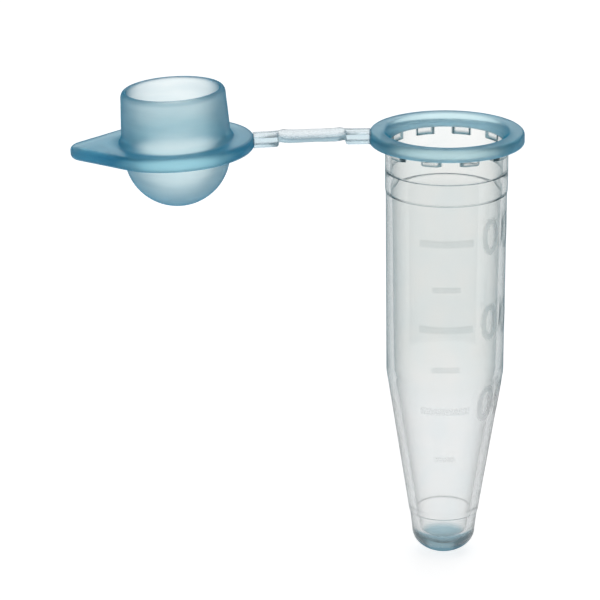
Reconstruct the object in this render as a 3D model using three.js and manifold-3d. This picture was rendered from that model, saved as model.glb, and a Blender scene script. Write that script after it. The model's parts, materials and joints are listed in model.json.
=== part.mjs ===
// Microcentrifuge tube, 1.5 mL, with an attached snap lid shown open.
// Millimetres, +Z up. The origin is on the tube axis at the underside of the mouth collar.
// The strap and lid lie toward -X, and the graduated face looks toward -Y.
import * as THREE from 'three';
import Module from 'manifold-3d';

const wasm = await Module();
wasm.setup();
const { Manifold } = wasm;

// ---------- driving dimensions ----------
const SEGMENTS = 48;
const SPLIT = 0.02; // air between neighbouring pieces of the one moulding

const BODY_R = 5.44; // outside of the barrel at the collar
const SHOULDER = { z: -21.4, outer: 5.3, inner: 4.63 }; // where the cone begins
const TIP_JOIN = { z: -34.95, outer: 3.16, inner: 2.4 }; // where the solid base begins
const TIP = { r: 2.86, z: -36.9, height: 2.1, step: 0.07 };
const FLOOR = { r: 2.05, z: -36.6, bottom: -37.8 };
const SEAL = { mid: -2.45, end: -4.4, topBore: 5.05, lowBore: 4.95, proud: 0.04 };
const BARREL_TOP_BORE = 4.85;

const COLLAR = { r: 6.9, height: 1.1, round: 0.35, mouth: 5.55, throat: 0.5 };
const GUSSET = { count: 10, width: 1.5, drop: 0.74, proud: 0.46 };
const SEAT_R = 6.05; // the collar rests on a rack from here outward, clear of the gussets

const LINE_RISE = 0.1; // how far a level line stands off the wall
const LINE_PHI = -3; // degrees round from the front, toward +X
const LONG_LINE = { half: 27, height: 0.75 };
const SHORT_LINE = { half: 14, height: 0.55 };
const LEVELS = [
  { ml: '1500', z: -7.9, line: LONG_LINE },
  { ml: '1250', z: -12.15, line: SHORT_LINE },
  { ml: '1000', z: -15.9, line: LONG_LINE },
  { ml: '0750', z: -19.65, line: SHORT_LINE },
  { ml: '0500', z: -23.75, line: LONG_LINE },
  { ml: '0250', z: -28.6, line: SHORT_LINE },
];

const PIVOT = { x: -12.1, z: 1.15 }; // fold line of the strap
const LID_REACH = 11.9; // fold line to lid axis
const DROOP = 3; // degrees the open lid hangs below level
const STUB = { width: 2.2, top: 1.1, thick: 1.0, length: 2.15 };
const WEB = { width: 3.2, thick: 0.46, gap: 0.05, relief: 38 };

const FLANGE = { r: 6.9, thick: 1.2, round: 0.3 };
const TAB = { reach: 9.4, tipR: 1.4 };
const PLUG = { height: 4.6, baseR: 4.83, tipR: 4.65, wall: 0.5 };
const WEDGE = { r: 5.25, height: 0.5 }; // sealing wedge at the foot of the plug
const DOME = { r: 4.7, wall: 0.5, drop: 0.1 };

// ---------- colours: one translucent polypropylene, thicker parts read darker ----------
const plastic = (color, roughness = 0.35) => new THREE.MeshStandardMaterial({
  color,
  roughness,
  metalness: 0,
});
const COLOURS = {
  wall: 0xd5dddc,
  cone: 0xe2e7e8,
  base: 0x6f9db0,
  collar: 0x8fb4c2,
  line: 0xb3c6cb,
  strap: 0x7fa9b8,
  lid: 0x86aebd,
  plug: 0xa9c0c8,
  dome: 0x9dbac4,
};

// ---------- shape helpers ----------
const radians = (degrees) => degrees * Math.PI / 180;

// Outside radius of the plain tube wall at height z.
function wallRadius(z) {
  const along = (from, to, a, b) => a + (b - a) * (z - from) / (to - from);
  if (z > SHOULDER.z) return along(0, SHOULDER.z, BODY_R, SHOULDER.outer);
  return along(SHOULDER.z, TIP_JOIN.z, SHOULDER.outer, TIP_JOIN.outer);
}

// Points [r, z] on an ellipse from one angle to another, in degrees from +r toward +z.
function arc(r, z, halfWidth, halfHeight, from, to, steps) {
  return Array.from({ length: steps + 1 }, (_, i) => {
    const angle = radians(from + (to - from) * i / steps);
    return [r + halfWidth * Math.cos(angle), z + halfHeight * Math.sin(angle)];
  });
}

// A turned solid from an outline of [r, z] points, outside edge running upward.
function turned(outline) {
  const open = outline[0][0] < 1e-6; // starts and ends on the axis
  const points = open ? outline : [...outline, outline[0]];
  const geometry = new THREE.LatheGeometry(
    points.map(([r, z]) => new THREE.Vector2(Math.max(r, 0), z)),
    SEGMENTS,
  );
  return geometry.rotateX(Math.PI / 2);
}

// Part of a turned ring, centred phi degrees round from the front toward +X.
function sector(outline, phi, half) {
  const steps = Math.max(2, Math.ceil(2 * half / (360 / SEGMENTS)));
  return Manifold.revolve([outline], steps, 2 * half).rotate([0, 0, phi - half - 90]);
}

// A flat bar along X with an outline of [x, z] points, centred on y = 0.
function bar(outline, width) {
  return Manifold.extrude([outline], width).rotate([90, 0, 0]).translate([0, width / 2, 0]);
}

function toGeometry(solid) {
  const { numProp, vertProperties, triVerts } = solid.getMesh();
  const positions = new Float32Array(vertProperties.length / numProp * 3);
  for (let i = 0; i < positions.length / 3; i += 1) {
    positions.set(vertProperties.slice(i * numProp, i * numProp + 3), i * 3);
  }
  const geometry = new THREE.BufferGeometry();
  geometry.setAttribute('position', new THREE.BufferAttribute(positions, 3));
  geometry.setIndex([...triVerts]);
  return geometry;
}

function add(parent, name, shape, color, roughness) {
  const geometry = shape.isBufferGeometry ? shape : toGeometry(shape);
  const mesh = new THREE.Mesh(geometry, plastic(color, roughness));
  mesh.name = name;
  parent.add(mesh);
  return mesh;
}

// ---------- tube ----------
function mouthCollar() {
  const { r, height, round, mouth, throat } = COLLAR;
  return turned([
    [SEAL.topBore, 0],
    [SEAT_R, 0],
    [r - 0.15, 0],
    [r, 0.15],
    ...arc(r - round, height - round, round, round, 0, 90, 4),
    [mouth, height],
    [SEAL.topBore, throat],
  ]);
}

function sealSection() {
  const { mid, end, topBore, lowBore, proud } = SEAL;
  return turned([
    [lowBore, end],
    [wallRadius(end) + proud, end],
    [BODY_R + proud, -SPLIT],
    [topBore, -SPLIT],
    [topBore, mid],
    [lowBore, mid - 0.1],
  ]);
}

function barrelWall() {
  return turned([
    [SHOULDER.inner, SHOULDER.z],
    [SHOULDER.outer, SHOULDER.z],
    [wallRadius(SEAL.end), SEAL.end - SPLIT],
    [BARREL_TOP_BORE, SEAL.end - SPLIT],
  ]);
}

function coneWall() {
  return turned([
    [TIP_JOIN.inner, TIP_JOIN.z],
    [TIP_JOIN.outer, TIP_JOIN.z],
    [SHOULDER.outer, SHOULDER.z - SPLIT],
    [SHOULDER.inner, SHOULDER.z - SPLIT],
  ]);
}

function tipBase() {
  const top = TIP_JOIN.z - SPLIT;
  return turned([
    ...arc(0, TIP.z, TIP.r, TIP.height, -90, 0, 10),
    [TIP_JOIN.outer - TIP.step, top],
    [TIP_JOIN.inner, top],
    ...arc(0, FLOOR.z, FLOOR.r, FLOOR.z - FLOOR.bottom, 0, -90, 6),
  ]);
}

// Small pad under the collar that stiffens its corner.
function collarGusset(index) {
  const foot = BODY_R + SEAL.proud + SPLIT;
  const phi = (index + 0.5) * 360 / GUSSET.count;
  const half = THREE.MathUtils.radToDeg(GUSSET.width / 2 / BODY_R);
  return sector([
    [foot, -GUSSET.drop],
    [foot + GUSSET.proud * 0.75, -GUSSET.drop + 0.06],
    [foot + GUSSET.proud, -SPLIT],
    [foot, -SPLIT],
  ], phi, half);
}

function levelLine({ z, line }) {
  const low = z - line.height / 2;
  const high = z + line.height / 2;
  const edge = 0.06;
  return sector([
    [wallRadius(low) + SPLIT, low],
    [wallRadius(low + edge) + LINE_RISE, low + edge],
    [wallRadius(high - edge) + LINE_RISE, high - edge],
    [wallRadius(high) + SPLIT, high],
  ], LINE_PHI, line.half);
}

// ---------- strap, in coordinates measured from the fold line ----------
// side is +1 for the half on the tube and -1 for the half on the lid.
function strapWeb(side) {
  const top = STUB.top - PIVOT.z;
  const bottom = top - WEB.thick;
  const near = WEB.gap;
  const nearLow = near + WEB.thick * Math.tan(radians(WEB.relief));
  const far = stubEnd(side) - SPLIT;
  const outline = [[near, top], [nearLow, bottom], [far, bottom], [far, top]];
  const turn = side > 0 ? 0 : 180;
  return bar(outline, WEB.width).rotate([0, 0, turn]);
}

// Distance from the fold line to the rim that the stub grows from.
const rimDistance = (side) => (side > 0 ? -PIVOT.x - COLLAR.r : LID_REACH - FLANGE.r);
const stubEnd = (side) => rimDistance(side) - STUB.length;

function strapStub(side) {
  const top = STUB.top - PIVOT.z;
  const bottom = top - STUB.thick;
  const near = stubEnd(side);
  const rim = side > 0 ? COLLAR.r : FLANGE.r;
  const axis = rimDistance(side) + rim;
  const outline = [[near, bottom], [axis - rim + 0.4, bottom], [axis - rim + 0.4, top], [near, top]];
  const round = Manifold.cylinder(4, rim + SPLIT, rim + SPLIT, SEGMENTS * 2, true);
  const turn = side > 0 ? 0 : 180;
  return bar(outline, STUB.width).subtract(round.translate([axis, 0, 0])).rotate([0, 0, turn]);
}

// ---------- lid, in coordinates with the mating face at z = 0 and the plug upward ----------
const cavityR = PLUG.baseR - PLUG.wall;

function lidFlange() {
  const { r, thick, round } = FLANGE;
  return turned([
    [cavityR, -thick],
    ...arc(r - round, -thick + round, round, round, -90, 0, 3),
    ...arc(r - round, -round, round, round, 0, 90, 3),
    [cavityR, 0],
  ]);
}

// The wedge of plate that runs from the round flange out to the thumb tip.
function thumbTab() {
  const disc = (radius, height) => Manifold.cylinder(height, radius, radius, SEGMENTS * 2, false);
  const height = FLANGE.thick - 0.04;
  const tip = disc(TAB.tipR, height).translate([TAB.tipR - TAB.reach, 0, 0]);
  const plate = Manifold.hull([disc(FLANGE.r - 0.02, height), tip]).translate([0, 0, 0.02 - FLANGE.thick]);
  const cut = disc(FLANGE.r + SPLIT, 4).translate([0, 0, -2]);
  const beyond = Manifold.cube([8, 16, 4], true).translate([-FLANGE.r * 0.3 - 4, 0, 0]);
  return plate.subtract(cut).intersect(beyond);
}

function sealWedge() {
  const foot = PLUG.baseR + SPLIT;
  return turned([
    [foot, SPLIT],
    [WEDGE.r, SPLIT],
    [WEDGE.r - 0.05, 0.1],
    [foot + 0.03, WEDGE.height],
    [foot, WEDGE.height],
  ]);
}

function plugWall() {
  const { height, baseR, tipR, wall } = PLUG;
  const lip = wall / 2;
  return turned([
    [cavityR, SPLIT],
    [baseR, SPLIT],
    [baseR, WEDGE.height],
    ...arc(tipR - lip, height - lip, lip, lip, 0, 180, 6),
  ]);
}

function domeShell() {
  const top = -FLANGE.thick - SPLIT;
  const centre = -FLANGE.thick - DOME.drop;
  const inner = DOME.r - DOME.wall;
  return turned([
    ...arc(0, centre, DOME.r, DOME.r, -90, 0, 12),
    [DOME.r, top],
    [inner, top],
    ...arc(0, centre, inner, inner, 0, -90, 12),
  ]);
}

// ---------- assembly ----------
const group = new THREE.Group();

const tube = new THREE.Group();
group.add(tube);
add(tube, 'mouth_collar', mouthCollar(), COLOURS.collar);
add(tube, 'seal_section', sealSection(), COLOURS.wall);
add(tube, 'barrel_wall', barrelWall(), COLOURS.wall);
add(tube, 'cone_wall', coneWall(), COLOURS.cone);
add(tube, 'tip_base', tipBase(), COLOURS.base, 0.3);
for (let i = 0; i < GUSSET.count; i += 1) {
  add(tube, `collar_gusset_${String(i + 1).padStart(2, '0')}`, collarGusset(i), COLOURS.collar);
}
for (const level of LEVELS) {
  add(tube, `level_line_${level.ml}`, levelLine(level), COLOURS.line, 0.45);
}

const strapOnTube = new THREE.Group();
strapOnTube.position.set(PIVOT.x, 0, PIVOT.z);
tube.add(strapOnTube);
add(strapOnTube, 'strap_root', strapStub(1), COLOURS.strap);
add(strapOnTube, 'strap_web_tube_half', strapWeb(1), COLOURS.strap, 0.4);

const lidSide = new THREE.Group();
lidSide.position.copy(strapOnTube.position);
lidSide.rotation.y = -radians(DROOP);
group.add(lidSide);
add(lidSide, 'strap_web_lid_half', strapWeb(-1), COLOURS.strap, 0.4);
add(lidSide, 'strap_lid_end', strapStub(-1), COLOURS.strap);

const lid = new THREE.Group();
lid.position.x = -LID_REACH;
lidSide.add(lid);
add(lid, 'lid_flange', lidFlange(), COLOURS.lid);
add(lid, 'thumb_tab', thumbTab(), COLOURS.lid);
add(lid, 'seal_wedge', sealWedge(), COLOURS.plug);
add(lid, 'plug_wall', plugWall(), COLOURS.plug);
add(lid, 'dome_shell', domeShell(), COLOURS.dome);

export default group;
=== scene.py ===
"""Looks for the microcentrifuge tube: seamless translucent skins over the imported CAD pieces."""
import json
import math

import bpy
from mathutils import Matrix, Vector


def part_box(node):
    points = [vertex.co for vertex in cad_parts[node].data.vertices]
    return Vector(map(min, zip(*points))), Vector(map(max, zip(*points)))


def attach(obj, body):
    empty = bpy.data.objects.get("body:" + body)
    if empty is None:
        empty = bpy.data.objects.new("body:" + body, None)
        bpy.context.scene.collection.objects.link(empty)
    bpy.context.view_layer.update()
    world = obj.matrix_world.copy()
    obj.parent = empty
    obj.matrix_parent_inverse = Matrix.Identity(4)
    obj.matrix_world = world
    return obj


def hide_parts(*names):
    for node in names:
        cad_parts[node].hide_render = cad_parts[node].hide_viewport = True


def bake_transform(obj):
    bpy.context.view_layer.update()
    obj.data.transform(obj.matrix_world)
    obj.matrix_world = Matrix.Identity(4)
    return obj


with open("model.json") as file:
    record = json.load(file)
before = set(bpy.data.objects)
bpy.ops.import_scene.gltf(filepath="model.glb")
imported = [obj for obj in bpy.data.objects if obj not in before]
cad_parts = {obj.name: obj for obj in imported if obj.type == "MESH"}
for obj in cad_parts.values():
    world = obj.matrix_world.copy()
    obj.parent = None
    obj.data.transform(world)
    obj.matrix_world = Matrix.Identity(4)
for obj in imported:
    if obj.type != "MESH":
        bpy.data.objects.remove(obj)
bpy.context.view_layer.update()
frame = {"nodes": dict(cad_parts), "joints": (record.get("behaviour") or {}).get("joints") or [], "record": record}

# ---------- sizes: from the frame, in millimetres ----------
MM = 0.001


def corners(node):
    low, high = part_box(node)
    return low / MM, high / MM


COLLAR = corners("mouth_collar")
SEAL = corners("seal_section")
BARREL = corners("barrel_wall")
CONE = corners("cone_wall")
TIP = corners("tip_base")
GUSSET = corners("collar_gusset_03")  # the one that sticks out along +X
HINGE = next(j for j in frame["joints"] if j["name"] == "lid_hinge")
PIVOT = Vector(HINGE["pos_m"]) / MM
DROOP = math.radians(HINGE["range_deg"][1] - 180)  # how far the open lid hangs below level

COLLAR_R, COLLAR_TOP = COLLAR[1].x, COLLAR[1].z
BODY_R = SEAL[1].x - 0.04  # plain wall radius under the collar
SHOULDER_R, SHOULDER_Z = CONE[1].x, BARREL[0].z
JOIN_Z = CONE[0].z  # the fine ring just above the tip
JOIN_R = 3.16
TIP_R, TIP_Z, TIP_BOTTOM = 2.86, -36.9, TIP[0].z
NECK_RING_Z = -2.45  # fine ring outside, and a step in the bore behind it
MOUTH_BORE, SEAL_BORE, BARREL_BORE, SHOULDER_BORE = 5.05, 4.95, 4.84, 4.55  # radii, going down
FLOOR_R, FLOOR_Z, FLOOR_POLE = 2.16, -36.3, -37.8  # rounded inner floor and its lowest point
GUSSET_COUNT, GUSSET_HALF = 10, math.degrees(0.75 / BODY_R)
GUSSET_DROP, GUSSET_PROUD = -GUSSET[0].z, GUSSET[1].x - BODY_R - 0.04

LINE_PHI = -3  # where the level lines are centred, degrees from the front toward +X
LINE_RISE = 0.05
GLYPH_RISE = 0.4  # the numerals' rise, as a share of the lines'
LEVELS = {  # level line node: (half its angle in degrees, the numeral beside it)
    "level_line_1500": (27, "1500"),
    "level_line_1250": (14, ""),
    "level_line_1000": (27, "1000"),
    "level_line_0750": (14, ""),
    "level_line_0500": (27, "500"),
    "level_line_0250": (14, ""),
}
GLYPH = {"half_w": 0.74, "half_h": 1.42, "stroke": 0.6, "lift": 0.3, "first_phi": 44, "pitch": 28}
GLYPH_HAZE = (3.6, 2.4, 0.9, 0.9)  # the last digit of a numeral is the most matt
PANEL = {"half_phi": 40, "low": -20.3, "high": -4.9}  # matt writing panel on the back wall

LID_REACH = 11.9  # fold line to lid axis
FLANGE_R, FLANGE_THICK, FLANGE_ROUND = COLLAR_R, 1.2, 0.45
TAB_REACH, TAB_R = 9.4, 1.4
PLUG_H, PLUG_BASE_R, PLUG_TIP_R = 4.6, 4.83, 4.65
WEDGE_R, WEDGE_H = 5.12, 0.5
DOME_R, DOME_WALL, DOME_Z = 4.7, 0.5, -1.3


# ---------- mesh helpers ----------
def arc(r, z, half_w, half_h, start, end, steps):
    """Points (r, z) on an ellipse, from one angle to another in degrees."""
    angles = [math.radians(start + (end - start) * i / steps) for i in range(steps + 1)]
    return [(r + half_w * math.cos(a), z + half_h * math.sin(a)) for a in angles]


def skin(name, bottom, rings, top, place=lambda p: p, marks=None):
    """A closed mesh through rings of points, from one pole to the other, in millimetres."""
    count = len(rings[0])
    points = [bottom] + [p for ring in rings for p in ring] + [top]
    at = lambda row, column: 1 + row * count + column % count
    faces = [(0, at(0, j + 1), at(0, j)) for j in range(count)]
    for i in range(len(rings) - 1):
        faces += [(at(i, j), at(i, j + 1), at(i + 1, j + 1), at(i + 1, j)) for j in range(count)]
    last = len(rings) - 1
    faces += [(at(last, j), at(last, j + 1), len(points) - 1) for j in range(count)]
    return solid(name, [place(Vector(p)) for p in points], faces, marks)


def solid(name, points, faces, marks=None):
    mesh = bpy.data.meshes.new(name)
    mesh.from_pydata([p * MM for p in points], [], faces)
    mesh.shade_smooth()
    mesh.set_sharp_from_angle(angle=math.radians(42))
    if marks is not None:
        mesh.attributes.new("frost_and_shade", "FLOAT", "POINT").data.foreach_set("value", marks)
    piece = bpy.data.objects.new(name, mesh)
    bpy.context.scene.collection.objects.link(piece)
    return piece


def smooth_step(value):
    value = max(0.0, min(1.0, value))
    return value * value * (3 - 2 * value)


# ---------- relief on the tube's outside ----------
def wall_radius(z):
    """Outside radius of the plain wall."""
    if z > SHOULDER_Z:
        return SHOULDER_R + (BODY_R - SHOULDER_R) * (z - SHOULDER_Z) / -SHOULDER_Z
    return JOIN_R + (SHOULDER_R - JOIN_R) * (z - JOIN_Z) / (SHOULDER_Z - JOIN_Z)


def strokes(character):
    """Centre line of a digit, as points about its middle."""
    w, h = GLYPH["half_w"], GLYPH["half_h"]
    if character == "0":
        return arc(0, 0, w, h, 0, 360, 28)
    if character == "1":
        return [(-0.5 * w, 0.62 * h), (0.15 * w, h), (0.15 * w, -h)]
    bowl = arc(0, -0.36 * h, w, 0.64 * h, 128, -140, 16)
    return [(0.85 * w, h), (-0.8 * w, h), (-0.86 * w, 0.06 * h)] + bowl


def distance(u, v, line):
    """Distance from (u, v) to the nearest point of a broken line."""
    best = 9.0
    for (ax, ay), (bx, by) in zip(line, line[1:]):
        dx, dy = bx - ax, by - ay
        t = max(0.0, min(1.0, ((u - ax) * dx + (v - ay) * dy) / (dx * dx + dy * dy)))
        best = min(best, math.hypot(u - ax - t * dx, v - ay - t * dy))
    return best


LINES = [(*[corner.z for corner in corners(node)], half, text)
         for node, (half, text) in LEVELS.items()]
STROKES = {character: strokes(character) for character in "015"}


def turn_from(phi, centre):
    return (phi - centre + 180) % 360 - 180


def from_gusset(phi):
    """Degrees from here to the middle of the nearest gusset."""
    pitch = 360 / GUSSET_COUNT
    return abs(turn_from(phi, pitch * (math.floor(phi / pitch) + 0.5)))


def gusset(phi, z):
    """How far a gusset stands off the wall here."""
    aside = from_gusset(phi)
    inside = smooth_step((GUSSET_HALF + 0.5 - aside) / 1.4)
    down = -z / GUSSET_DROP
    return inside * GUSSET_PROUD * (1 - 0.25 * down) if down < 0.99 else 0.0


def gusset_edge(phi, z):
    """1 round the edge of a gusset, where its wall stands up, and a little on its face. There the tube is matt
    and, as painted shade, dark teal.
    """
    aside = from_gusset(phi)
    if aside > GUSSET_HALF + 1.5:
        return 0.0
    return 1.0 if aside > GUSSET_HALF - 1 or z < -0.6 else 0.15


def marking(phi, z):
    """Relief of the level lines and numerals here, and how matt they are, from 0 to 1."""
    r = wall_radius(z)
    for low, high, half, text in LINES:
        middle = (low + high) / 2
        if abs(z - middle) > 2.2:
            continue
        edge = min(z - low, high - z)
        side = math.radians(half - abs(turn_from(phi, LINE_PHI))) * r
        if edge > 0 and side > 0:
            return smooth_step(min(edge, side) / 0.09), 0.85
        for i, character in enumerate(reversed(text)):
            # the numerals stand on their heads, to be read with the tube upside down
            u = -math.radians(turn_from(phi, GLYPH["first_phi"] + i * GLYPH["pitch"])) * r
            if abs(u) < 1.5:
                near = distance(u, middle + GLYPH["lift"] - z, STROKES[character])
                ink = smooth_step((GLYPH["stroke"] / 2 + 0.07 - near) / 0.14)
                return ink * GLYPH_RISE, GLYPH_HAZE[i]
    return 0.0, 0.0


def panel(phi, z):
    """1 on the matt writing panel, 0 off it."""
    aside = math.radians(PANEL["half_phi"] - abs(turn_from(phi, 180))) * BODY_R
    return smooth_step(min(aside, z - PANEL["low"], PANEL["high"] - z) / 0.15 + 0.5)


# ---------- tube ----------
def outer_levels():
    """Heights of the rings on the outside wall, close together only across the markings."""
    levels = {SHOULDER_Z - 0.5, SHOULDER_Z - 0.15, SHOULDER_Z + 0.15, SHOULDER_Z + 0.5}
    levels |= {JOIN_Z + 0.03 + i * 0.62 for i in range(50)}
    for low, high, _, text in LINES:
        middle, reach = (low + high) / 2, 1.75 if text else 0.4
        levels -= {z for z in levels if abs(z - middle) < reach + 0.1}
        steps = round(2 * reach / 0.1)
        levels |= {middle - reach + 2 * reach * i / steps for i in range(steps + 1)}
    return sorted(z for z in levels if JOIN_Z < z < SEAL[0].z - 0.08)


def tube_rows():
    """The outline of the tube wall as (r, z, which side), from the tip's outside to its floor."""
    rows = [(r, z, "plain") for r, z in arc(0, TIP_Z, TIP_R, TIP_Z - TIP_BOTTOM, -84, 0, 14)]
    rows += [(TIP_R + 0.12, TIP_Z + 1, "plain"), (JOIN_R - 0.06, JOIN_Z - 0.05, "plain")]
    rows += [(JOIN_R - 0.12, JOIN_Z - 0.01, "plain"), (JOIN_R, JOIN_Z + 0.02, "plain")]
    rows += [(wall_radius(z), z, "wall") for z in outer_levels()]
    step = SEAL[0].z
    under = wall_radius(step)
    rows += [(under, step - 0.08, "wall"), (under - 0.05, step - 0.04, "ring")]
    rows += [(under + 0.04, step, "wall")]
    neck = BODY_R + 0.04
    rows += [(neck, step + 0.3, "wall"), (neck, NECK_RING_Z - 0.05, "wall")]
    rows += [(neck - 0.08, NECK_RING_Z, "ring"), (neck, NECK_RING_Z + 0.05, "wall")]
    rows += [(neck, z, "wall") for z in (-1.2, -0.84, -0.76)]
    rows += [(neck, z, "neck") for z in (-0.7, -0.64, -0.4, -0.15, -0.02)]
    rows += [(neck, -0.01, "neck"), (MOUTH_BORE + 0.01, -0.01, "plain")]
    rows += [(MOUTH_BORE, z, "plain") for z in (-0.02, -0.3, -1.2, -2.40, -2.44)]
    rows += [(SEAL_BORE + 0.01, NECK_RING_Z - 0.02, "plain")]
    rows += [(SEAL_BORE, z, "plain") for z in (-2.51, -3.4, step + 0.05, step)]
    rows += [(BARREL_BORE + 0.02, step - 0.03, "plain"), (BARREL_BORE, step - 0.07, "plain")]
    inner = [(BARREL_BORE - 0.21 * i / 10, step - 0.3 + (SHOULDER_Z + 0.9 - step) * i / 10)
             for i in range(11)]
    inner += [(SHOULDER_BORE + 0.05, SHOULDER_Z + 0.15), (SHOULDER_BORE, SHOULDER_Z - 0.3)]
    inner += [(SHOULDER_BORE - 2.12 * i / 12,
               SHOULDER_Z - 0.3 + (JOIN_Z + 0.3 - SHOULDER_Z) * i / 12) for i in range(1, 13)]
    inner += arc(0, FLOOR_Z, FLOOR_R, FLOOR_Z - FLOOR_POLE, 0, -80, 10)
    return rows + [(r, z, "inner") for r, z in inner]


def collar_skin():
    """The mouth collar, as a ring closed on itself."""
    rows = [(MOUTH_BORE + 0.01, 0), (5.5, 0), (6.05, 0)]
    rows += arc(COLLAR_R - 0.15, 0.15, 0.15, 0.15, -90, 0, 4)
    rows += arc(COLLAR_R - 0.35, COLLAR_TOP - 0.35, 0.35, 0.35, 0, 90, 6)
    rows += [(6.1, COLLAR_TOP), (5.72, COLLAR_TOP - 0.01), (5.58, COLLAR_TOP - 0.06)]
    rows += [(5.48, COLLAR_TOP - 0.17), (5.12, 0.58), (MOUTH_BORE, 0.45), (MOUTH_BORE, 0.01)]
    count = 144
    turns = [2 * math.pi * j / count for j in range(count)]
    points = [Vector((r * math.sin(a), -r * math.cos(a), z)) for r, z in rows for a in turns]
    at = lambda row, column: row % len(rows) * count + column % count
    faces = [(at(i, j), at(i, j + 1), at(i + 1, j + 1), at(i + 1, j))
             for i in range(len(rows)) for j in range(count)]
    return solid("collar_moulding", points, faces)


def tube_skin():
    """Everything of the tube below the collar. Its frost_and_shade attribute says how matt each point is,
    from 0 to 1, and is -1 on the inside of the wall. Above z = -4.5 mm the same value also sets
    painted shade: the gusset edges and the rings turn dark teal."""
    columns = [i * 1.5 for i in range(240)]
    rings, marks = [], [0.0]
    for r, z, side in tube_rows():
        ring = []
        for phi in columns:
            mark, matt = marking(phi, z) if side == "wall" else (0.0, 0.0)
            out = r + mark * LINE_RISE + (gusset(phi, z) if side == "neck" else 0.0)
            angle = math.radians(phi)
            ring.append((out * math.sin(angle), -out * math.cos(angle), z))
            if side == "neck":
                matt = gusset_edge(phi, z)
            elif side == "wall":
                matt = max(mark * matt, 0.55 * panel(phi, z))
            marks.append({"inner": -1.0, "ring": 1.0}.get(side, matt))
        rings.append(ring)
    marks.append(0.0)
    return skin("tube_moulding", (0, 0, TIP_BOTTOM), rings, (0, 0, FLOOR_POLE), marks=marks)


# ---------- lid ----------
def on_lid(point):
    """From lid measurements, mating face at z = 0 and plug upward, to the frame at rest."""
    turn = Matrix.Rotation(-DROOP, 3, "Y")
    return PIVOT + turn @ (point - Vector((LID_REACH, 0, 0)))


def flange_reach(psi):
    """Edge of the lid plate, psi radians from -X: a round plate drawn out to a thumb tip."""
    far = TAB_REACH - TAB_R
    tangent = math.acos((FLANGE_R - TAB_R) / far)
    tip = math.atan2(TAB_R * math.sin(tangent), far + TAB_R * math.cos(tangent))
    psi = abs(psi)
    if psi < tip:
        return far * math.cos(psi) + math.sqrt(TAB_R ** 2 - (far * math.sin(psi)) ** 2)
    return FLANGE_R / math.cos(tangent - psi) if psi < tangent else FLANGE_R


def lid_rows():
    """The outline of the lid: (r, z, how far the row follows the drawn-out plate edge)."""
    thick, edge = FLANGE_THICK, FLANGE_ROUND
    rows = [(r, z, 0) for r, z in arc(0, DOME_Z, DOME_R, DOME_R, -84, -4, 20)]
    rows += [(DOME_R, -thick - 0.08, 0), (DOME_R + 0.08, -thick, 0)]
    rows += [(5.6, -thick, 0.25), (6.2, -thick, 0.6)]
    rows += [(r, z, 1) for r, z in arc(-edge, edge - thick, edge, edge, -90, 0, 5)]
    rows += [(r, z, 1) for r, z in arc(-edge, -edge, edge, edge, 0, 90, 5)]
    rows += [(6.2, 0, 0.6), (5.6, 0, 0.25), (WEDGE_R + 0.04, 0, 0), (WEDGE_R - 0.04, 0.06, 0)]
    rows += [(PLUG_BASE_R + 0.03, WEDGE_H, 0), (PLUG_BASE_R, WEDGE_H + 0.1, 0)]
    rows += [(PLUG_BASE_R - 0.04, 1.4, 0), (PLUG_BASE_R - 0.1, 2.6, 0)]
    rows += [(PLUG_TIP_R + 0.02, 3.5, 0)]
    lip = PLUG_TIP_R - 0.38
    rows += [(r, z, 0) for r, z in arc(lip, PLUG_H - 0.6, 0.38, 0.6, 0, 84, 8)]
    rows += [(r, z, 0) for r, z in arc(lip, PLUG_H - 0.12, 0.12, 0.12, 90, 180, 3)]
    inside = DOME_R - DOME_WALL
    rows += [(lip - 0.12 + 0.04 * i / 6, PLUG_H - 0.6 - 4.6 * i / 6, 0) for i in range(7)]
    rows += [(inside, -thick, 0)]
    return rows + [(r, z, 0) for r, z in arc(0, DOME_Z, inside, inside, 0, -84, 20)]


def lid_skin():
    fine = [math.radians(d) for d in range(-12, 12)]
    coarse = [math.radians(12 + 3 * i) for i in range(112)]
    rings = []
    for r, z, follow in lid_rows():
        ring = []
        for psi in fine + coarse:
            signed = (psi + math.pi) % (2 * math.pi) - math.pi
            edge = flange_reach(signed)
            out = edge + r if follow == 1 else r + follow * (edge - FLANGE_R)
            ring.append((-out * math.cos(psi), -out * math.sin(psi), z))
        rings.append(ring)
    return skin("lid_moulding", (0, 0, DOME_Z - DOME_R), rings,
                (0, 0, DOME_Z - DOME_R + DOME_WALL), place=on_lid)


# ---------- strap ----------
FOLD = 0.4  # nothing of the strap is nearer to the fold line, so its ends turn as rigid pieces
STUB_HALF, WEB_HALF = 1.1, 1.6
STRAP_TOP, STUB_LOW, WEB_LOW = -0.07, -1.03, -0.5  # below the pivot


def strap_sections(rim):
    """(x from the fold line, half width, top, underside) from the fold out to a rim."""
    step = rim - 2.15
    return [
        (FOLD, WEB_HALF, STRAP_TOP - 0.16, WEB_LOW - 0.12),
        (FOLD + 0.7, WEB_HALF, STRAP_TOP - 0.15, WEB_LOW - 0.12),
        (step - 0.9, WEB_HALF, STRAP_TOP - 0.1, WEB_LOW - 0.1),
        (step - 0.45, WEB_HALF - 0.05, STRAP_TOP - 0.03, WEB_LOW - 0.06),
        (step - 0.15, STUB_HALF + 0.2, STRAP_TOP, WEB_LOW - 0.06),
        (step - 0.02, STUB_HALF + 0.05, STRAP_TOP, WEB_LOW - 0.12),
        (step + 0.06, STUB_HALF, STRAP_TOP, STUB_LOW + 0.1),
        (step + 0.2, STUB_HALF, STRAP_TOP, STUB_LOW),
        (rim - 0.5, STUB_HALF, STRAP_TOP, STUB_LOW),
        (rim + 0.03, STUB_HALF, STRAP_TOP, STUB_LOW),
    ]


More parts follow.
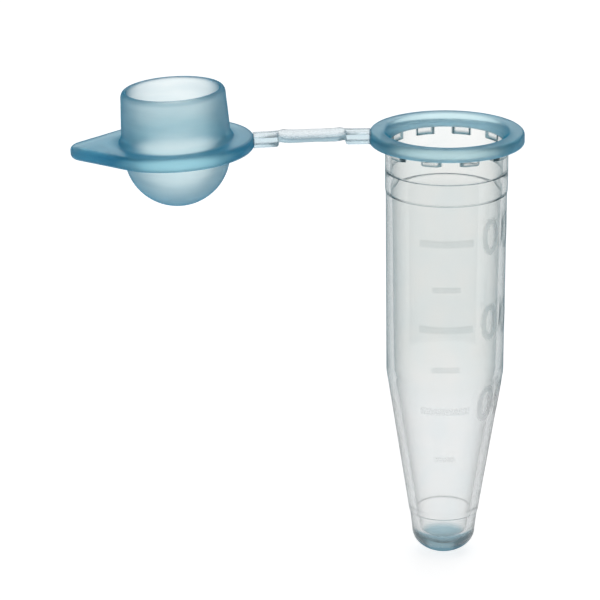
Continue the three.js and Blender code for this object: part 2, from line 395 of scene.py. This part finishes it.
def loop(half, top, low):
    """A rounded rectangle of (y, z), counter-clockwise seen from +X."""
    c = 0.14
    spots = [(half - c, top - c, 0), (c - half, top - c, 90),
             (c - half, low + c, 180), (half - c, low + c, 270)]
    return [p for y, z, start in spots for p in arc(y, z, c, c, start, start + 90, 4)]


def strap():
    """The whole strap as one skin, from inside the lid's rim to inside the collar's."""
    tube_rim = -PIVOT.x - COLLAR_R
    lid_rim = LID_REACH - FLANGE_R
    rings = []
    for side, rim, rim_r in ((-1, lid_rim, FLANGE_R), (1, tube_rim, COLLAR_R)):
        half = []
        for x, wide, top, low in strap_sections(rim):
            end = x > rim
            turn = Matrix.Rotation(-DROOP if side < 0 else 0, 3, "Y")
            ring = []
            for y, z in loop(wide, top, low):
                bow = rim_r - math.sqrt(rim_r ** 2 - y ** 2) if end else 0
                ring.append(PIVOT + turn @ Vector((side * (x + bow), y, z)))
            half.append(ring)
        rings += half[::-1] if side < 0 else half
    middle = lambda ring: sum(ring, Vector()) / len(ring)
    return skin("strap", middle(rings[0]), rings, middle(rings[-1]))


# ---------- materials ----------
class Nodes:
    """A short way to write one node material."""

    def __init__(self, name):
        self.material = bpy.data.materials.new(name)
        self.material.use_nodes = True
        self.tree = self.material.node_tree
        self.shader = self.tree.nodes["Principled BSDF"]
        self.place = self.new("ShaderNodeTexCoord").outputs["Object"]

    def new(self, kind, **inputs):
        node = self.tree.nodes.new(kind)
        for name, value in inputs.items():
            self.feed(node.inputs[name.replace("_", " ")], value)
        return node

    def feed(self, socket, value):
        if isinstance(value, bpy.types.NodeSocket):
            self.tree.links.new(value, socket)
        else:
            socket.default_value = value

    def noise(self, per_mm, detail=4.0):
        node = self.new("ShaderNodeTexNoise", Vector=self.place, Scale=per_mm / MM, Detail=detail)
        return node.outputs["Fac"]

    def span(self, value, from_low, from_high, to_low, to_high):
        node = self.new("ShaderNodeMapRange", Value=value)
        for name, number in zip(("From Min", "From Max", "To Min", "To Max"),
                                (from_low, from_high, to_low, to_high)):
            node.inputs[name].default_value = number
        node.interpolation_type = "SMOOTHSTEP"
        return node.outputs["Result"]

    def math(self, operation, *values):
        node = self.tree.nodes.new("ShaderNodeMath")
        node.operation = operation
        for socket, value in zip(node.inputs, values):
            self.feed(socket, value)
        return node.outputs[0]

    def mix(self, factor, one, other):
        node = self.tree.nodes.new("ShaderNodeMix")
        node.data_type = "RGBA"
        sockets = [s for s in node.inputs if s.enabled]
        for socket, value in zip(sockets, (factor, one, other)):
            self.feed(socket, value)
        return next(s for s in node.outputs if s.enabled)

    def set(self, **inputs):
        for name, value in inputs.items():
            self.feed(self.shader.inputs[name.replace("_", " ")], value)

    def bump(self, height, distance_mm, strength=1.0):
        node = self.new("ShaderNodeBump", Height=height, Distance=distance_mm * MM,
                        Strength=strength)
        self.set(Normal=node.outputs["Normal"])

    def haze(self, colour):
        """Milky plastic: half of its light comes through and half is sent back."""
        through = self.new("ShaderNodeBsdfTranslucent", Color=colour)
        back = self.new("ShaderNodeBsdfDiffuse", Color=colour)
        return self.over(through.outputs[0], back.outputs[0], 0.5)

    def over(self, under, upper, share):
        node = self.tree.nodes.new("ShaderNodeMixShader")
        for socket, value in zip(node.inputs, (share, under, upper)):
            self.feed(socket, value)
        return node.outputs[0]

    def absorb(self, colour, per_metre):
        node = self.new("ShaderNodeVolumeAbsorption", Color=(*colour, 1), Density=per_metre)
        output = self.tree.nodes["Material Output"]
        self.tree.links.new(node.outputs["Volume"], output.inputs["Volume"])


PP_IOR = 1.42
LIGHT_LOSS = 0.95  # the most that the absorption takes from any one colour, as its node counts


def polypropylene(m, clear, milky_and_edge_shade, share, rough, absorbed, edge_shade_glance):
    """Clear plastic with a cloudy scattering: share of the light goes through its haze.

    The same haze closes over it where the surface is seen at a glancing angle. That is partly the haze a satin
    surface shows there and partly painted shade: its colours are dark teal, so the outlines come out darker by
    view angle. edge_shade_glance is the most it hides and how fast it closes. absorbed is what the solid plastic
    takes off each colour, per metre.
    """
    m.set(Base_Color=clear, Roughness=rough, IOR=PP_IOR, Transmission_Weight=1.0)
    most, power = edge_shade_glance
    # painted edge shade: the haze's share rises with the view angle, so glancing surfaces turn dark teal
    facing = m.new("ShaderNodeLayerWeight", Blend=0.5).outputs["Facing"]
    painted_edge_shade = m.math("MULTIPLY", m.math("POWER", facing, power), most)
    haze = m.haze(milky_and_edge_shade)
    surface = m.over(m.over(m.shader.outputs[0], haze, share), haze, painted_edge_shade)
    m.tree.links.new(surface, m.tree.nodes["Material Output"].inputs["Surface"])
    strongest = max(absorbed)
    m.absorb([1 - a / strongest * LIGHT_LOSS for a in absorbed], strongest / LIGHT_LOSS)
    return m.material


def tube_plastic():
    """Nearly clear plastic: greyer in the barrel than the cone, teal in the solid base."""
    m = Nodes("tube_polypropylene")
    height = m.new("ShaderNodeSeparateXYZ", Vector=m.place).outputs["Z"]
    cloud = m.span(m.noise(0.35, 3), 0.3, 0.7, 0, 0.06)
    frost_and_shade = m.new("ShaderNodeAttribute")
    frost_and_shade.attribute_name = "frost_and_shade"
    matt = m.math("MAXIMUM", frost_and_shade.outputs["Fac"], 0.0)
    outside = m.math("GREATER_THAN", frost_and_shade.outputs["Fac"], -0.5)
    base = m.math("MULTIPLY", outside, m.span(height, -37.35 * MM, -38.2 * MM, 0, 1))
    # painted shade: the matt marks above z = -4.5 mm, the gusset edges and the rings, take a dark teal colour
    painted_rib_shade = m.math("MULTIPLY", matt, m.span(height, -4.6 * MM, -4.5 * MM, 0, 1))
    thick = m.math("MAXIMUM", base, cloud)
    cone = m.span(height, (SHOULDER_Z + 1) * MM, (SHOULDER_Z - 3) * MM, 0, 1)
    barrel = m.mix(matt, (0.94, 0.94, 0.925, 1), (0.88, 0.89, 0.87, 1))
    wall = m.mix(cone, barrel, (0.985, 0.98, 0.975, 1))
    wall = m.mix(thick, wall, (0.42, 0.74, 0.86, 1))
    grain = m.span(m.noise(4, 3), 0.35, 0.65, -0.015, 0.02)
    satin = m.math("MAXIMUM", m.math("MULTIPLY_ADD", cone, 0.06, 0.05),
                   m.math("MULTIPLY", base, 0.35))
    # haze colours: dark teal in the barrel, pale grey in the cone, deep teal in the solid base. Face-on they are
    # the plastic's own haze; where the haze closes over glancing surfaces the teal is painted edge shade
    milky_and_edge_shade = m.mix(cone, (0.11, 0.30, 0.37, 1), (0.52, 0.56, 0.57, 1))
    milky_and_edge_shade = m.mix(base, milky_and_edge_shade, (0.04, 0.28, 0.42, 1))
    m.bump(m.noise(2.5, 2), 0.0002)
    return polypropylene(
        # the dark teal mixed in here is painted shade on the gusset edges and rings
        m, clear=m.mix(painted_rib_shade, wall, (0.07, 0.16, 0.20, 1)),
        milky_and_edge_shade=milky_and_edge_shade,
        share=m.math("ADD", m.math("MULTIPLY_ADD", base, 0.34, 0.02),
                     m.math("MULTIPLY", matt, 0.1)),
        rough=m.math("ADD", m.math("MULTIPLY_ADD", matt, 0.2, satin), grain),
        absorbed=(100, 90, 88), edge_shade_glance=(0.88, 2.6))


def thick_plastic(name, share, soft, absorbed):
    """The satin plastic of the collar and lid: streaked round the moulding, rougher on the plug."""
    m = Nodes(name)
    round_it = m.new("ShaderNodeMapping", Vector=m.place)
    round_it.inputs["Scale"].default_value = (0.25, 0.25, 1.6)
    streak = m.new("ShaderNodeTexNoise", Vector=round_it.outputs["Vector"],
                   Scale=1 / MM, Detail=3.0)
    streaks = m.span(streak.outputs["Fac"], 0.3, 0.7, 0, 1)
    grain = m.span(m.noise(4, 3), 0.35, 0.65, -0.04, 0.04)
    m.bump(m.noise(2.5, 2), 0.0015)
    height = m.new("ShaderNodeSeparateXYZ", Vector=m.place).outputs["Z"]
    plug = m.span(height, 1.5 * MM, 2.4 * MM, 0, 1)
    m.set(Specular_Tint=(0.3, 0.72, 0.84, 1))
    return polypropylene(
        m, clear=m.mix(streaks, (0.90, 0.925, 0.93, 1), (1.0, 0.995, 0.985, 1)),
        # dark teal haze: a little of it everywhere as the plastic's own haze, and painted edge shade where it
        # closes over glancing surfaces
        milky_and_edge_shade=m.mix(streaks, (0.0, 0.29, 0.48, 1), (0.01, 0.35, 0.56, 1)), share=share,
        rough=m.math("ADD", grain, m.math("MULTIPLY_ADD", plug, 0.1, soft)), absorbed=absorbed,
        edge_shade_glance=(0.97, 2.0))


def strap_plastic():
    """The clearer plastic of the thin strap, lightly rippled."""
    m = Nodes("strap_polypropylene")
    cloud = m.span(m.noise(0.6, 4), 0.3, 0.7, 0, 1)
    grain = m.span(m.noise(4, 3), 0.35, 0.65, -0.05, 0.05)
    m.bump(m.noise(1.5, 2), 0.004)
    return polypropylene(
        m, clear=m.mix(cloud, (0.97, 0.98, 0.99, 1), (0.99, 0.99, 0.99, 1)),
        # teal haze: the strap's own slight haze face-on, and painted edge shade where it closes over glancing
        # surfaces
        milky_and_edge_shade=(0.2, 0.42, 0.52, 1), share=0.06, rough=m.math("ADD", grain, 0.2),
        absorbed=(150, 80, 55), edge_shade_glance=(0.4, 3))


# ---------- stage, light and camera ----------
def floor():
    """A wide pale light table, brightest in the middle."""
    mesh = bpy.data.meshes.new("floor")
    reach = 1.6
    mesh.from_pydata([(x, y, TIP_BOTTOM * MM) for x, y in
                      ((-reach, -reach), (reach, -reach), (reach, reach), (-reach, reach))],
                     [], [(0, 1, 2, 3)])
    plane = bpy.data.objects.new("floor", mesh)
    bpy.context.scene.collection.objects.link(plane)
    m = Nodes("floor_light_table")
    out = m.new("ShaderNodeVectorMath", Vector=m.place)
    out.operation = "LENGTH"
    glow = m.span(out.outputs["Value"], 0.5, 0.9, 0.8, 0.4)
    m.set(Base_Color=(0.45, 0.45, 0.45, 1), Roughness=0.9, Emission_Color=(1, 1, 1, 1),
          Emission_Strength=glow)
    mesh.materials.append(m.material)


def light(name, place, size, watts):
    lamp = bpy.data.lights.new(name, "AREA")
    lamp.shape, lamp.size, lamp.energy = "SQUARE", size, watts
    thing = bpy.data.objects.new(name, lamp)
    thing.location = Vector(place)
    thing.rotation_euler = (-thing.location).to_track_quat("-Z", "Y").to_euler()
    bpy.context.scene.collection.objects.link(thing)


def studio():
    world = bpy.data.worlds.new("studio")
    world.use_nodes = True
    background = world.node_tree.nodes["Background"]
    background.inputs["Color"].default_value = (0.95, 0.98, 1, 1)
    background.inputs["Strength"].default_value = 0.22
    bpy.context.scene.world = world
    light("top_softbox", (0.05, 0.1, 0.7), 0.6, 1.9)
    light("left_softbox", (-0.6, -0.25, 0.35), 0.35, 0.7)
    light("back_softbox", (0.1, 0.7, 0.3), 0.5, 0.9)
    bpy.context.scene.view_settings.view_transform = "Standard"


CAMERA = {"place": (-18.75, -282.3, 80.2), "pitch": 18.57, "yaw": 2.12, "lens": 198.5,
          "shift": -0.089}


def camera():
    data = bpy.data.cameras.new("camera")
    data.lens, data.sensor_width, data.shift_x = CAMERA["lens"], 36, CAMERA["shift"]
    data.clip_start, data.clip_end = 0.01, 20
    thing = bpy.data.objects.new("camera", data)
    thing.location = Vector(CAMERA["place"]) * MM
    thing.rotation_euler = (math.radians(90 - CAMERA["pitch"]), 0, -math.radians(CAMERA["yaw"]))
    bpy.context.scene.collection.objects.link(thing)
    bpy.context.scene.camera = thing


# ---------- assembly ----------
TUBE_NODES = [n for n in frame["record"]["behaviour"]["bodies"]["tube"] if "strap" not in n]
LID_NODES = [n for n in frame["record"]["behaviour"]["bodies"]["lid"] if "strap" not in n]
STRAP_NODES = [n for n in frame["nodes"] if "strap" in n]

camera()
studio()
floor()

tube = tube_skin()
tube.data.materials.append(tube_plastic())
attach(tube, "tube")
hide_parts(*(n for n in TUBE_NODES if n != "mouth_collar"))

collar = collar_skin()
collar.data.materials.append(thick_plastic("collar_polypropylene", 0.02, 0.33, (240, 76, 44)))
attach(collar, "tube")
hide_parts("mouth_collar")

lid = lid_skin()
lid.data.materials.append(thick_plastic("lid_polypropylene", 0.02, 0.34, (270, 84, 42)))
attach(lid, "lid")
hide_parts(*LID_NODES)

band = strap()
band.data.materials.append(strap_plastic())
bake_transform(band)
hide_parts(*STRAP_NODES)
